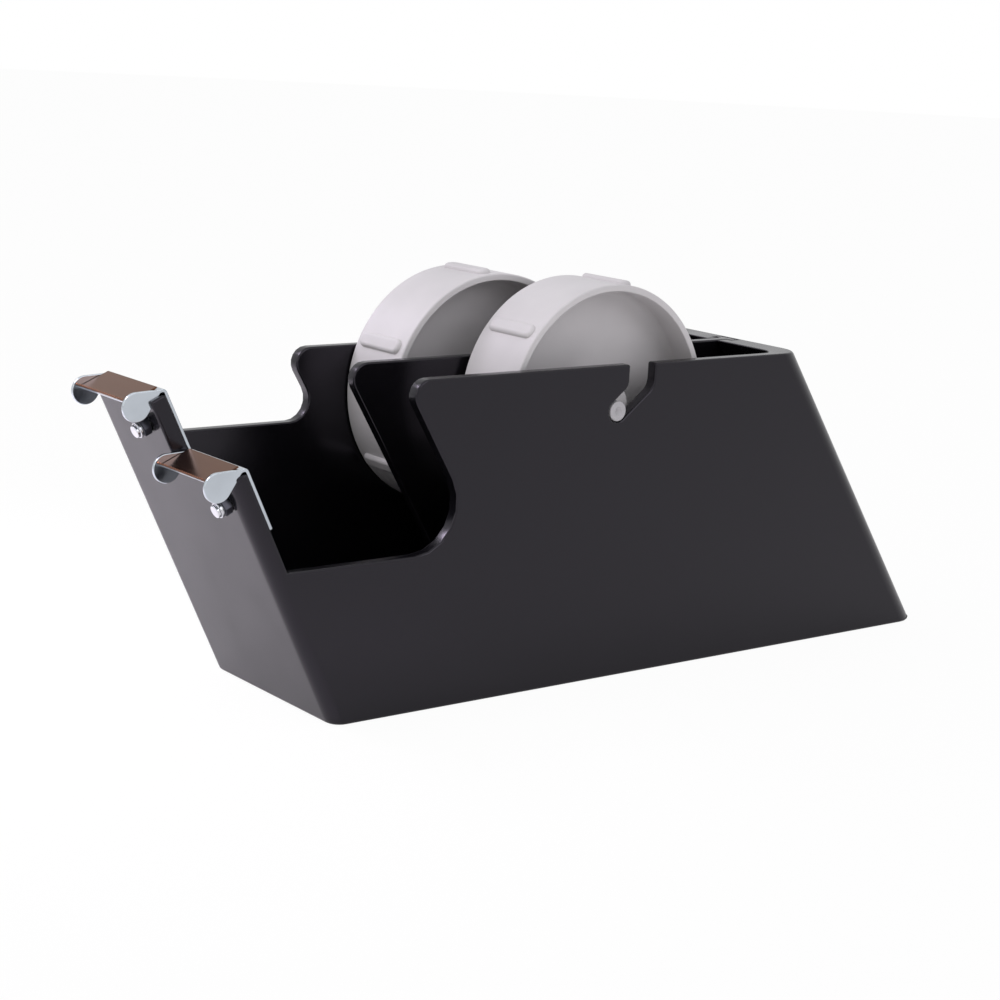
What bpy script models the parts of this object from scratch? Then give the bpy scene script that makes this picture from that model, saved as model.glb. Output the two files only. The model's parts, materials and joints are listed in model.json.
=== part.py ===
"""Table dispenser for two narrow rolls of tape, one lane beside the other.

Metres, +Z up. The origin is in the middle of the base, on the surface it stands on.
-X is the front with the cutters, -Y the near side with the lower tab.
"""
import math

import bmesh
import bpy
from mathutils import Vector

# Driving sizes of the housing
BASE_LENGTH = 0.246
WIDTH = 0.0668
RIM_HEIGHT = 0.0987
FRONT_LEAN = math.radians(25.4)
REAR_LEAN = math.radians(34.6)
SIDE_WALL = 0.004
FRONT_WALL = 0.005
REAR_WALL = 0.0082
FRONT_CORNER_RADIUS = 0.0045
REAR_CORNER_RADIUS = 0.0095
INNER_FRONT_RADIUS = 0.002
INNER_REAR_RADIUS = 0.005
FLOOR_TOP = 0.0135
FLOOR_THICKNESS = 0.0025
PAD_PROUD = 0.0002

# Cut-outs at the front, where the tape is reached
CUT_LEAN = math.radians(31.0)
CUT_RIM_SETBACK = 0.0669
RIM_CORNER_RADIUS = 0.005
NEAR_SHELF = 0.0473
NEAR_SHELF_RADIUS = 0.0142
FAR_SHELF = 0.0759
FAR_SHELF_RADIUS = 0.0065
STEP_GAP = 0.0006
NEAR_TAB_LENGTH = 0.0824
FAR_TAB_LENGTH = 0.1014

# Lanes, rolls' drums and their axles
NEAR_AXLE_REACH = 0.1465
FAR_AXLE_REACH = 0.1659
AXLE_DROP = 0.0141
AXLE_RADIUS = 0.0031
SLOT_CLEARANCE = 0.0003
SLOT_SLOPE = math.radians(38.0)
SLOT_LEFT = 0.004
SLOT_RIGHT = 0.0141
SLOT_CORNER_RADIUS = 0.003
SLOT_BACK_RADIUS = 0.005
DIMPLE_RADIUS = 0.0014
DRUM_RADIUS = 0.038
DRUM_RING = 0.0021
DRUM_WALL_GAP = 0.00055
DRUM_DIVIDER_GAP = 0.0022
WEB_THICKNESS = 0.0026
WEB_FILLET = 0.0022
HUB_RADIUS = 0.0085
HUB_RELIEF = 0.0012
RIB_COUNT = 6
NEAR_RIB_ANGLE = math.radians(80)
FAR_RIB_ANGLE = math.radians(94.5)
RIB_HEIGHT = 0.0013
RIB_WIDTH = 0.0046
RIB_SETBACK = 0.0024
RIB_ROOT = 0.0008

# Divider between the lanes, hung in the rear wall by a T-shaped edge
DIVIDER_THICKNESS = 0.0035
NECK_DEPTH = 0.0038
HEAD_DEPTH = 0.003
HEAD_WIDTH = 0.008
GUIDE_WIDTH = 0.002
GUIDE_HEIGHT = 0.003
GUIDE_START = 0.078
GUIDE_LENGTH = 0.092

# Base: weight, cover, screws and anti-slip pad
COVER_THICKNESS = 0.0025
PAD_THICKNESS = 0.0012
PAD_INSET = 0.003
WEIGHT_CLEARANCE = 0.001
BOSS_RADIUS = 0.0042
BOSS_INSET = 0.0145
BOSS_SIDE_INSET = 0.0095
SCREW_RADIUS = 0.0013
SCREW_HEAD_RADIUS = 0.0027
SCREW_HEAD_DEPTH = 0.0014
SCREW_LENGTH = 0.0072

# Cutters: a bent bracket with side guides, a toothed blade, a bolt with two nuts
SHEET = 0.001
NEAR_CUTTER_INSET = 0.0009
FAR_CUTTER_INSET = 0.0041
CUTTER_SPACING = 0.0018
WIDTH_DIFFERENCE = 0.0022
LEG_LENGTH = 0.0195
BEND_RADIUS = 0.0013
PLATE_REACH = 0.0046
PLATE_RISE = 0.0005
EAR_RADIUS = 0.0042
EAR_REACH = 0.0039
EAR_DROP = 0.0004
EAR_TIP_RISE = 0.0003
BLADE_SHEET = 0.0005
BLADE_REAR = 0.0032
LIP_REACH = 0.0011
LIP_RISE = 0.0016
LIP_RADIUS = 0.0007
TOOTH_PITCH = 0.0012
TOOTH_DEPTH = 0.0006
BOLT_INSET = 0.0067
BOLT_DROP = 0.0083
BOLT_RADIUS = 0.0019
BOLT_HEAD_RADIUS = 0.0034
BOLT_HEAD_HEIGHT = 0.0022
BOLT_END = 0.0048
NUT_RADIUS = 0.0029
NUT_HEIGHT = 0.0024
LOCK_NUT_RADIUS = 0.0026
LOCK_NUT_HEIGHT = 0.0009

# Clearances, and the overrun of every cut
GAP = 0.0003
FIT = 0.0002
OVERRUN = 0.003
ARC_STEPS = 6
ROUND_STEPS = 48
SMALL_ROUND_STEPS = 20
HEX_STEPS = 6
SMOOTH_ANGLE = math.radians(35)
MITRE_SHARE = 0.5

FRONT_X = -BASE_LENGTH / 2
REAR_X = BASE_LENGTH / 2
HALF_WIDTH = WIDTH / 2
INNER_HALF = HALF_WIDTH - SIDE_WALL
NEAR_AXLE_X = REAR_X - NEAR_AXLE_REACH
FAR_AXLE_X = REAR_X - FAR_AXLE_REACH
AXLE_HEIGHT = RIM_HEIGHT - AXLE_DROP
DRUM_WIDTH = INNER_HALF - DIVIDER_THICKNESS / 2 - DRUM_WALL_GAP - DRUM_DIVIDER_GAP
LANE_OFFSET = INNER_HALF - DRUM_WALL_GAP - DRUM_WIDTH / 2
BOTH_WIDTHS = WIDTH - NEAR_CUTTER_INSET - FAR_CUTTER_INSET - CUTTER_SPACING
NEAR_WIDTH = (BOTH_WIDTHS - WIDTH_DIFFERENCE) / 2
FAR_WIDTH = (BOTH_WIDTHS + WIDTH_DIFFERENCE) / 2
NEAR_CUTTER_Y = -HALF_WIDTH + NEAR_CUTTER_INSET + NEAR_WIDTH / 2
FAR_CUTTER_Y = HALF_WIDTH - FAR_CUTTER_INSET - FAR_WIDTH / 2
STEP_Y = NEAR_CUTTER_Y + NEAR_WIDTH / 2 + STEP_GAP


def material(name, colour, roughness, metallic):
    """One plain surface for one sub-part."""
    made = bpy.data.materials.new(name)
    made.use_nodes = True
    shader = made.node_tree.nodes["Principled BSDF"]
    shader.inputs["Base Color"].default_value = (*colour, 1)
    shader.inputs["Roughness"].default_value = roughness
    shader.inputs["Metallic"].default_value = metallic
    return made


def finish(name, shape, surface, smooth=False):
    """Turn a bmesh into a named object with its faces out."""
    bmesh.ops.recalc_face_normals(shape, faces=shape.faces)
    mesh = bpy.data.meshes.new(name)
    shape.to_mesh(mesh)
    shape.free()
    if smooth:
        mesh.shade_smooth()
        mesh.set_sharp_from_angle(angle=SMOOTH_ANGLE)
    made = bpy.data.objects.new(name, mesh)
    bpy.context.scene.collection.objects.link(made)
    if surface:
        mesh.materials.append(surface)
    return made


def as_cutter(piece):
    """A shape that only cuts or is merged into another one."""
    piece.hide_render = True
    piece.display_type = "WIRE"
    return piece


def combine(target, other, operation):
    """Cut a shape from the target, or merge it in."""
    as_cutter(other)
    step = target.modifiers.new(other.name, "BOOLEAN")
    step.operation = operation
    step.object = other
    step.solver = "EXACT"


def rounded(corners, closed=True):
    """Points of an outline whose corners (u, v, radius) are rounded by arcs."""
    points = []
    count = len(corners)
    for index, (u, v, radius) in enumerate(corners):
        here = Vector((u, v))
        if radius == 0 or (not closed and index in (0, count - 1)):
            points.append(here)
            continue
        before = (Vector(corners[index - 1][:2]) - here).normalized()
        after = (Vector(corners[(index + 1) % count][:2]) - here).normalized()
        half = before.angle(after) / 2
        centre = here + (before + after).normalized() * (radius / math.sin(half))
        start = here + before * (radius / math.tan(half)) - centre
        turn = start.angle_signed(here + after * (radius / math.tan(half)) - centre)
        for step in range(ARC_STEPS + 1):
            angle = -turn * step / ARC_STEPS
            swung = Vector((
                start.x * math.cos(angle) - start.y * math.sin(angle),
                start.x * math.sin(angle) + start.y * math.cos(angle),
            ))
            points.append(centre + swung)
    return points


def ring(shape, points):
    """A closed loop of vertices in a bmesh."""
    return [shape.verts.new(point) for point in points]


def loft(name, low, high, surface=None):
    """A solid between two rings with as many points each."""
    shape = bmesh.new()
    bottom = ring(shape, low)
    top = ring(shape, high)
    shape.faces.new(bottom)
    shape.faces.new(top)
    count = len(bottom)
    for index in range(count):
        after = (index + 1) % count
        shape.faces.new((bottom[index], bottom[after], top[after], top[index]))
    return finish(name, shape, surface)


def side_prism(name, outline, y_low, y_high, surface=None):
    """An outline of (x, z) points, pulled straight across the dispenser."""
    low = [(x, y_low, z) for x, z in outline]
    high = [(x, y_high, z) for x, z in outline]
    return loft(name, low, high, surface)


def turned(name, profile, surface=None, steps=ROUND_STEPS):
    """A closed outline of (radius, height) points, spun around local Z."""
    shape = bmesh.new()
    corners = [shape.verts.new((radius, 0, height)) for radius, height in profile]
    count = len(corners)
    edges = [shape.edges.new((corners[i], corners[(i + 1) % count])) for i in range(count)]
    bmesh.ops.spin(
        shape, geom=corners + edges, cent=(0, 0, 0), axis=(0, 0, 1),
        angle=math.tau, steps=steps, use_merge=True,
    )
    bmesh.ops.remove_doubles(shape, verts=shape.verts, dist=DIMPLE_RADIUS / ROUND_STEPS)
    return finish(name, shape, surface, smooth=True)


def front_line(height, depth):
    """X of the front face at a height, or of a face that lies behind it."""
    return FRONT_X - height * math.tan(FRONT_LEAN) + depth / math.cos(FRONT_LEAN)


def rear_line(height, depth):
    """X of the rear face at a height, or of a face that lies before it."""
    return REAR_X - height * math.tan(REAR_LEAN) - depth / math.cos(REAR_LEAN)


def cut_line(height):
    """X of the slanted front edge of the side walls and the divider."""
    at_rim = front_line(RIM_HEIGHT, 0) + CUT_RIM_SETBACK
    return at_rim - (height - RIM_HEIGHT) * math.tan(CUT_LEAN)


def wall_point(ahead, along):
    """(x, z) of a point ahead of the front face and along it from its foot."""
    x = FRONT_X - ahead * math.cos(FRONT_LEAN) - along * math.sin(FRONT_LEAN)
    z = along * math.cos(FRONT_LEAN) - ahead * math.sin(FRONT_LEAN)
    return x, z


def plan(height, front, side, rear, front_radius, rear_radius):
    """The walls' rounded plan outline at one height, set in by three depths."""
    x_low = front_line(height, front)
    x_high = rear_line(height, rear)
    half = HALF_WIDTH - side
    corners = [
        (x_low, -half, front_radius), (x_high, -half, rear_radius),
        (x_high, half, rear_radius), (x_low, half, front_radius),
    ]
    return [(x, y, height) for x, y in rounded(corners)]


def clear_scene():
    """Start from an empty scene."""
    for old in list(bpy.data.objects):
        bpy.data.objects.remove(old, do_unlink=True)


def lane_cut(name, shelf, shelf_radius, tab_length, y_low, y_high):
    """What is missing from the front of one lane's walls, above its shelf and tab."""
    above = RIM_HEIGHT + OVERRUN
    inner_depth = FRONT_WALL + FIT
    tab_rear = wall_point(-inner_depth, tab_length)
    tab_front = wall_point(OVERRUN, tab_length)
    corners = [
        (cut_line(above), above, 0),
        (cut_line(RIM_HEIGHT), RIM_HEIGHT, 0),
        (cut_line(shelf), shelf, shelf_radius),
        (front_line(shelf, inner_depth), shelf, 0),
        (*tab_rear, BEND_RADIUS),
        (*tab_front, 0),
        (front_line(above, -OVERRUN), above, 0),
    ]
    return side_prism(name, rounded(corners), y_low, y_high)


def rim_corner_cut(name, y_low, y_high):
    """Rounds the corner where a slanted edge meets the rim."""
    reach = RIM_CORNER_RADIUS / math.tan((math.pi / 2 - CUT_LEAN) / 2)
    low = RIM_HEIGHT - reach * math.cos(CUT_LEAN)
    high = RIM_HEIGHT + OVERRUN
    edge = cut_line(RIM_HEIGHT)
    arc = rounded([
        (cut_line(low), low, 0),
        (edge, RIM_HEIGHT, RIM_CORNER_RADIUS),
        (edge + reach, RIM_HEIGHT, 0),
    ], closed=False)[1:-1]
    outside = [(edge + reach, high), (edge - OVERRUN, high), (edge - OVERRUN, low)]
    return side_prism(name, arc + outside, y_low, y_high)


def axle_slot(name, axle_x, y_low, y_high):
    """J-shaped slot: a wide mouth at the rim, then a slope down to the axle's seat."""
    seat = Vector((axle_x, AXLE_HEIGHT))
    half = AXLE_RADIUS + SLOT_CLEARANCE
    up = Vector((math.cos(SLOT_SLOPE), math.sin(SLOT_SLOPE)))
    side = Vector((-up.y, up.x))
    left = seat.x + SLOT_LEFT
    right = seat.x + SLOT_RIGHT
    upper = seat + side * half
    lower = seat - side * half
    top = RIM_HEIGHT + OVERRUN
    upper_end = upper + up * ((left - upper.x) / up.x)
    lower_end = lower + up * ((right - lower.x) / up.x)
    end_upper = upper - up * half
    end_lower = lower - up * half
    corners = [
        (left, top, 0),
        (upper_end.x, upper_end.y, SLOT_CORNER_RADIUS),
        (end_upper.x, end_upper.y, half),
        (end_lower.x, end_lower.y, half),
        (lower_end.x, lower_end.y, SLOT_BACK_RADIUS),
        (right, top, 0),
    ]
    return side_prism(name, rounded(corners), y_low, y_high)


def sloped_bar(name, depth_front, depth_rear, half, low, high):
    """A bar that leans with the rear wall, between two depths inside it."""
    outline = [
        (rear_line(low, depth_front), low),
        (rear_line(low, depth_rear), low),
        (rear_line(high, depth_rear), high),
        (rear_line(high, depth_front), high),
    ]
    return side_prism(name, outline, -half, half)


def boss_places():
    """Centres of the four screw bosses in the base."""
    x_low = front_line(0, FRONT_WALL) + BOSS_INSET
    x_high = rear_line(FLOOR_TOP, REAR_WALL) - BOSS_INSET
    y = INNER_HALF - BOSS_SIDE_INSET
    return [(x_low, -y), (x_low, y), (x_high, -y), (x_high, y)]


COVER_LOW = PAD_THICKNESS + GAP
COVER_HIGH = COVER_LOW + COVER_THICKNESS
FLOOR_LOW = FLOOR_TOP - FLOOR_THICKNESS
BOSS_LOW = COVER_HIGH + GAP
SCREW_FIT = SCREW_RADIUS + FIT
BOLT_FIT = BOLT_RADIUS + FIT


def base_cylinder(name, place, radius, low, high, steps=SMALL_ROUND_STEPS):
    """An upright round bar in the base."""
    shape = bmesh.new()
    bmesh.ops.create_cone(
        shape, cap_ends=True, segments=steps, radius1=radius, radius2=radius, depth=high - low,
    )
    bmesh.ops.translate(shape, verts=shape.verts, vec=(place[0], place[1], (low + high) / 2))
    return finish(name, shape, None)


def wall_hole(name, y, along):
    """A round hole square through the front wall."""
    shape = bmesh.new()
    depth = FRONT_WALL + OVERRUN * 2
    bmesh.ops.create_cone(
        shape, cap_ends=True, segments=SMALL_ROUND_STEPS, radius1=BOLT_FIT, radius2=BOLT_FIT, depth=depth,
    )
    made = finish(name, shape, None)
    x, z = wall_point(-FRONT_WALL / 2, along)
    made.location = (x, y, z)
    made.rotation_euler = (0, -math.pi / 2 - FRONT_LEAN, 0)
    return made


def build_housing(surface):
    """The moulded shell: four leaning walls, the floor and the bosses under it."""
    housing = loft(
        "housing",
        plan(PAD_PROUD, 0, 0, 0, FRONT_CORNER_RADIUS, REAR_CORNER_RADIUS),
        plan(RIM_HEIGHT, 0, 0, 0, FRONT_CORNER_RADIUS, REAR_CORNER_RADIUS),
        surface,
    )
    top = RIM_HEIGHT + OVERRUN
    inside = (FRONT_WALL, SIDE_WALL, REAR_WALL, INNER_FRONT_RADIUS, INNER_REAR_RADIUS)
    combine(housing, loft("cut_bay", plan(FLOOR_TOP, *inside), plan(top, *inside)), "DIFFERENCE")
    under = plan(PAD_PROUD - OVERRUN, *inside)
    combine(housing, loft("cut_base", under, plan(FLOOR_LOW, *inside)), "DIFFERENCE")
    outside = HALF_WIDTH + OVERRUN
    near = (NEAR_SHELF, NEAR_SHELF_RADIUS, NEAR_TAB_LENGTH, -outside, STEP_Y)
    far = (FAR_SHELF, FAR_SHELF_RADIUS, FAR_TAB_LENGTH, STEP_Y - OVERRUN, outside)
    combine(housing, lane_cut("cut_near_lane", *near), "DIFFERENCE")
    combine(housing, lane_cut("cut_far_lane", *far), "DIFFERENCE")
    combine(housing, rim_corner_cut("cut_rim_corners", -outside, outside), "DIFFERENCE")
    between = INNER_HALF - OVERRUN
    combine(housing, axle_slot("cut_near_slot", NEAR_AXLE_X, -outside, -between), "DIFFERENCE")
    combine(housing, axle_slot("cut_far_slot", FAR_AXLE_X, between, outside), "DIFFERENCE")
    neck = DIVIDER_THICKNESS / 2 + GAP
    head = HEAD_WIDTH / 2 + GAP
    neck_depth = REAR_WALL - NECK_DEPTH
    head_depth = neck_depth - HEAD_DEPTH
    neck_cut = sloped_bar("cut_neck", REAR_WALL + OVERRUN, neck_depth - GAP, neck, FLOOR_TOP, top)
    combine(housing, neck_cut, "DIFFERENCE")
    combine(housing, sloped_bar("cut_head", neck_depth, head_depth, head, FLOOR_TOP, top), "DIFFERENCE")
    for index, place in enumerate(boss_places(), 1):
        boss = base_cylinder(f"boss_{index}", place, BOSS_RADIUS, BOSS_LOW, FLOOR_TOP - FLOOR_THICKNESS / 2)
        combine(housing, boss, "UNION")
    for index, place in enumerate(boss_places(), 1):
        pilot = base_cylinder(f"pilot_{index}", place, SCREW_FIT, BOSS_LOW - OVERRUN, FLOOR_LOW)
        combine(housing, pilot, "DIFFERENCE")
    for side in (-1, 1):
        inner = side * (DIVIDER_THICKNESS / 2 + GAP)
        outer = inner + side * GUIDE_WIDTH
        start = FRONT_X + GUIDE_START
        low = FLOOR_TOP - FLOOR_THICKNESS / 2
        high = FLOOR_TOP + GUIDE_HEIGHT
        outline = [(start, low), (start + GUIDE_LENGTH, low), (start + GUIDE_LENGTH, high), (start, high)]
        guide = side_prism(f"guide_{side + 2}", outline, min(inner, outer), max(inner, outer))
        combine(housing, guide, "UNION")
    for name, lane, width, tab in cutter_lanes():
        hole = wall_hole(f"cut_{name}_bolt", lane - width / 2 + BOLT_INSET, tab - BOLT_DROP)
        combine(housing, hole, "DIFFERENCE")
    return housing


def cutter_lanes():
    """Name, middle, width and tab length of the two cutters."""
    return [
        ("near", NEAR_CUTTER_Y, NEAR_WIDTH, NEAR_TAB_LENGTH),
        ("far", FAR_CUTTER_Y, FAR_WIDTH, FAR_TAB_LENGTH),
    ]


def build_divider(surface):
    """The plate between the lanes, with a T-shaped rear edge and two axle slots."""
    low = FLOOR_TOP + GAP
    neck_depth = REAR_WALL - NECK_DEPTH
    edge_depth = neck_depth - HEAD_DEPTH / 2
    corners = [
        (cut_line(low), low, 0),
        (rear_line(low, edge_depth), low, 0),
        (rear_line(RIM_HEIGHT, edge_depth), RIM_HEIGHT, 0),
        (cut_line(RIM_HEIGHT), RIM_HEIGHT, RIM_CORNER_RADIUS),
    ]
    half = DIVIDER_THICKNESS / 2
    divider = side_prism("divider", rounded(corners), -half, half, surface)
    head_rear = neck_depth - HEAD_DEPTH + GAP
    head = sloped_bar("divider_head", neck_depth - GAP, head_rear, HEAD_WIDTH / 2, low, RIM_HEIGHT)
    combine(divider, head, "UNION")
    for name, axle_x in (("near", NEAR_AXLE_X), ("far", FAR_AXLE_X)):
        slot = axle_slot(f"cut_divider_{name}", axle_x, -half - OVERRUN, half + OVERRUN)
        combine(divider, slot, "DIFFERENCE")
    return divider


def build_base(weight_surface, cover_surface, pad_surface, screw_surface):
    """Weight, cover, pad and the four screws that hold the cover."""
    places = boss_places()
    clear = BOSS_RADIUS + WEIGHT_CLEARANCE
    x_low = places[0][0] + clear
    x_high = places[-1][0] - clear
    half = INNER_HALF - WEIGHT_CLEARANCE
    corners = [(x_low, -half), (x_high, -half), (x_high, half), (x_low, half)]
    outline = rounded([(x, y, INNER_REAR_RADIUS) for x, y in corners])
    weight_low = [(x, y, BOSS_LOW) for x, y in outline]
    weight_high = [(x, y, FLOOR_LOW - GAP) for x, y in outline]
    loft("weight", weight_low, weight_high, weight_surface)
    inside = (FRONT_WALL + GAP, SIDE_WALL + GAP, REAR_WALL + GAP, INNER_FRONT_RADIUS, INNER_REAR_RADIUS)
    cover = loft("base_cover", plan(COVER_LOW, *inside), plan(COVER_HIGH, *inside), cover_surface)
    inset = (
        FRONT_WALL + PAD_INSET, SIDE_WALL + PAD_INSET, REAR_WALL + PAD_INSET,
        INNER_REAR_RADIUS, INNER_REAR_RADIUS,
    )
    pad_high = [(x, y, PAD_THICKNESS) for x, y, _ in plan(0, *inset)]
    loft("anti_slip_pad", plan(0, *inset), pad_high, pad_surface)
    head_low = COVER_LOW + GAP
    head_top = head_low + SCREW_HEAD_DEPTH
    for index, place in enumerate(boss_places(), 1):
        sink = turned(f"cut_sink_{index}", [
            (0, COVER_LOW - OVERRUN), (SCREW_HEAD_RADIUS + FIT, COVER_LOW - OVERRUN),
            (SCREW_HEAD_RADIUS + FIT, head_low + FIT), (SCREW_FIT, head_top + FIT),
            (SCREW_FIT, COVER_HIGH + OVERRUN), (0, COVER_HIGH + OVERRUN),
        ], steps=SMALL_ROUND_STEPS)
        sink.location = (*place, 0)
        combine(cover, sink, "DIFFERENCE")
        screw = turned(f"base_screw_{index}", [
            (0, 0), (SCREW_HEAD_RADIUS, 0), (SCREW_RADIUS, SCREW_HEAD_DEPTH),
            (SCREW_RADIUS, SCREW_LENGTH - SCREW_RADIUS), (0, SCREW_LENGTH),
        ], screw_surface, SMALL_ROUND_STEPS)
        screw.location = (*place, head_low)


def build_drum(name, x, y, rib_angle, surface):
    """The core holder of one roll: ring, web, hub and its grip ribs."""
    half = DRUM_WIDTH / 2
    bore = AXLE_RADIUS + GAP
    hub_half = half - HUB_RELIEF
    inner = DRUM_RADIUS - DRUM_RING
    web = WEB_THICKNESS / 2
    profile = rounded([
        (bore, -hub_half, 0), (HUB_RADIUS, -hub_half, 0), (HUB_RADIUS, -web, WEB_FILLET),
        (inner, -web, WEB_FILLET), (inner, -half, 0), (DRUM_RADIUS, -half, 0),
        (DRUM_RADIUS, half, 0), (inner, half, 0), (inner, web, WEB_FILLET),
        (HUB_RADIUS, web, WEB_FILLET), (HUB_RADIUS, hub_half, 0), (bore, hub_half, 0),
    ])
    drum = turned(name, thinned(profile), surface)
    ribs = grip_ribs(f"{name}_ribs", half - RIB_SETBACK, rib_angle)
    combine(drum, ribs, "UNION")
    for piece in (drum, ribs):
        piece.location = (x, y, AXLE_HEIGHT)
        piece.rotation_euler = (math.pi / 2, 0, 0)
    return drum


def thinned(profile):
    """Every second point of each fillet, enough for a solid of this size."""
    kept = []
    for index, point in enumerate(profile):
        close = kept and (point - kept[-1]).length < WEB_FILLET / ARC_STEPS * 2
        if not close or index == len(profile) - 1:
            kept.append(point)
    return kept


def grip_ribs(name, half, first_angle):
    """Rounded bars across the drum's outside, evenly spaced."""
    shape = bmesh.new()
    for index in range(RIB_COUNT):
        middle = math.tau * index / RIB_COUNT + first_angle
        out = Vector((math.cos(middle), math.sin(middle), 0))
        across = Vector((-out.y, out.x, 0))
        low = DRUM_RADIUS - RIB_ROOT
        high = DRUM_RADIUS + RIB_HEIGHT
        section = [(-RIB_WIDTH / 2, low), (RIB_WIDTH / 2, low)]
        section += [(RIB_WIDTH / 2, DRUM_RADIUS), (RIB_WIDTH / 4, high)]
        section += [(-RIB_WIDTH / 4, high), (-RIB_WIDTH / 2, DRUM_RADIUS)]
        rings = []
        for height in (-half, half):
            rings.append(ring(shape, [across * u + out * v + Vector((0, 0, height)) for u, v in section]))
        for loop in rings:
            shape.faces.new(loop)
        count = len(section)
        for step in range(count):
            after = (step + 1) % count
            shape.faces.new((rings[0][step], rings[0][after], rings[1][after], rings[1][step]))
    return finish(name, shape, None)


def build_axle(name, x, y_low, y_high, surface):
    """A plain pin with a turned dimple in each end."""
    length = y_high - y_low
    axle = turned(name, [
        (0, DIMPLE_RADIUS), (DIMPLE_RADIUS, 0), (AXLE_RADIUS, 0),
        (AXLE_RADIUS, length), (DIMPLE_RADIUS, length), (0, length - DIMPLE_RADIUS),
    ], surface, SMALL_ROUND_STEPS)
    axle.location = (x, y_high, AXLE_HEIGHT)
    axle.rotation_euler = (math.pi / 2, 0, 0)
    return axle


def offset(path, distance):
    """The path moved sideways, to its left as it runs."""
    moved = []
    for index, point in enumerate(path):
        before = path[max(index - 1, 0)]
        after = path[min(index + 1, len(path) - 1)]
        one = (point - before) if index else (after - point)
        two = (after - point) if index < len(path) - 1 else one
        one.normalize()
        two.normalize()
        middle = (one + two).normalized()
        side = Vector((-middle.y, middle.x))
        moved.append(point + side * (distance / max(middle.dot(one), MITRE_SHARE)))
    return moved


def strip(name, path, thickness, y_low, y_high, surface=None):
    """A bent sheet that follows a path drawn ahead of and along the front wall."""
    outline = offset(path, thickness / 2) + list(reversed(offset(path, -thickness / 2)))
    placed = [wall_point(ahead, along) for ahead, along in outline]
    return side_prism(name, placed, y_low, y_high, surface)


def teardrop(centre, radius, tip):
    """Outline of an ear: a round end drawn out to a tip at the bend."""
    reach = tip - centre
    start = math.atan2(reach.y, reach.x)
    half = math.acos(radius / reach.length)
    steps = ARC_STEPS * 3
    points = [tip]
    for step in range(steps + 1):
        angle = start + half + (math.tau - half * 2) * step / steps
        points.append(centre + Vector((math.cos(angle), math.sin(angle))) * radius)
    return points


def build_cutter(name, lane, width, tab, surfaces):
    """Bracket over the tab, toothed blade on it, and the bolt with its nut and ring."""
    bracket_surface, blade_surface, bolt_surface, nut_surface, ring_surface = surfaces
    half = width / 2
    bolt_y = lane - half + BOLT_INSET
    leg = -(FRONT_WALL + GAP + SHEET / 2)
    top = tab + GAP + SHEET / 2
    path = rounded([
        (leg, top - LEG_LENGTH, 0), (leg, top, BEND_RADIUS), (PLATE_REACH, top + PLATE_RISE, 0),
    ], closed=False)
    bracket = strip(f"{name}_bracket", path, SHEET, lane - half, lane + half, bracket_surface)
    centre = Vector((EAR_REACH, top - EAR_DROP))
    tip = Vector((leg + SHEET / 2, top + EAR_TIP_RISE))
    ear = [wall_point(*point) for point in teardrop(centre, EAR_RADIUS, tip)]
    clear = [wall_point(-FRONT_WALL - GAP, 0), wall_point(GAP, 0)]
    clear += [wall_point(GAP, tab + GAP), wall_point(-FRONT_WALL - GAP, tab + GAP)]
    for side in (-1, 1):
        outer = lane + side * half
        inner = outer - side * SHEET
        low = min(outer, inner)
        high = max(outer, inner)
        combine(bracket, side_prism(f"{name}_ear_{side + 2}", ear, low, high), "UNION")
        room = side_prism(f"cut_{name}_ear_{side + 2}", clear, low - GAP, high + GAP)
        combine(bracket, room, "DIFFERENCE")
    build_blade(name, lane, half - SHEET - GAP, top, blade_surface)
    hole = wall_hole(f"cut_{name}_leg", bolt_y, tab - BOLT_DROP)
    combine(bracket, hole, "DIFFERENCE")
    head = -(FRONT_WALL + GAP * 2 + SHEET)
    edge = BOLT_HEAD_RADIUS - BOLT_RADIUS / 2
    bolt = turned(f"{name}_bolt", [
        (0, head - BOLT_HEAD_HEIGHT), (edge, head - BOLT_HEAD_HEIGHT),
        (BOLT_HEAD_RADIUS, head - BOLT_HEAD_HEIGHT / 2), (BOLT_HEAD_RADIUS, head),
        (BOLT_RADIUS, head), (BOLT_RADIUS, BOLT_END - FIT), (BOLT_RADIUS - FIT, BOLT_END), (0, BOLT_END),
    ], bolt_surface, SMALL_ROUND_STEPS)
    nut = turned(f"{name}_nut", nut_profile(NUT_RADIUS, GAP, GAP + NUT_HEIGHT), nut_surface, HEX_STEPS)
    lock_low = GAP * 2 + NUT_HEIGHT
    lock = turned(
        f"{name}_lock_ring", nut_profile(LOCK_NUT_RADIUS, lock_low, lock_low + LOCK_NUT_HEIGHT),
        ring_surface, SMALL_ROUND_STEPS,
    )
    x, z = wall_point(0, tab - BOLT_DROP)
    for piece in (bolt, nut, lock):
        piece.location = (x, bolt_y, z)
        piece.rotation_euler = (0, -math.pi / 2 - FRONT_LEAN, 0)


def nut_profile(radius, low, high):
    """Square section of a nut or ring around the bolt."""
    bore = BOLT_FIT / math.cos(math.pi / HEX_STEPS) if radius == NUT_RADIUS else BOLT_FIT + FIT
    return [(bore, low), (radius, low), (radius, high), (bore, high)]


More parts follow.
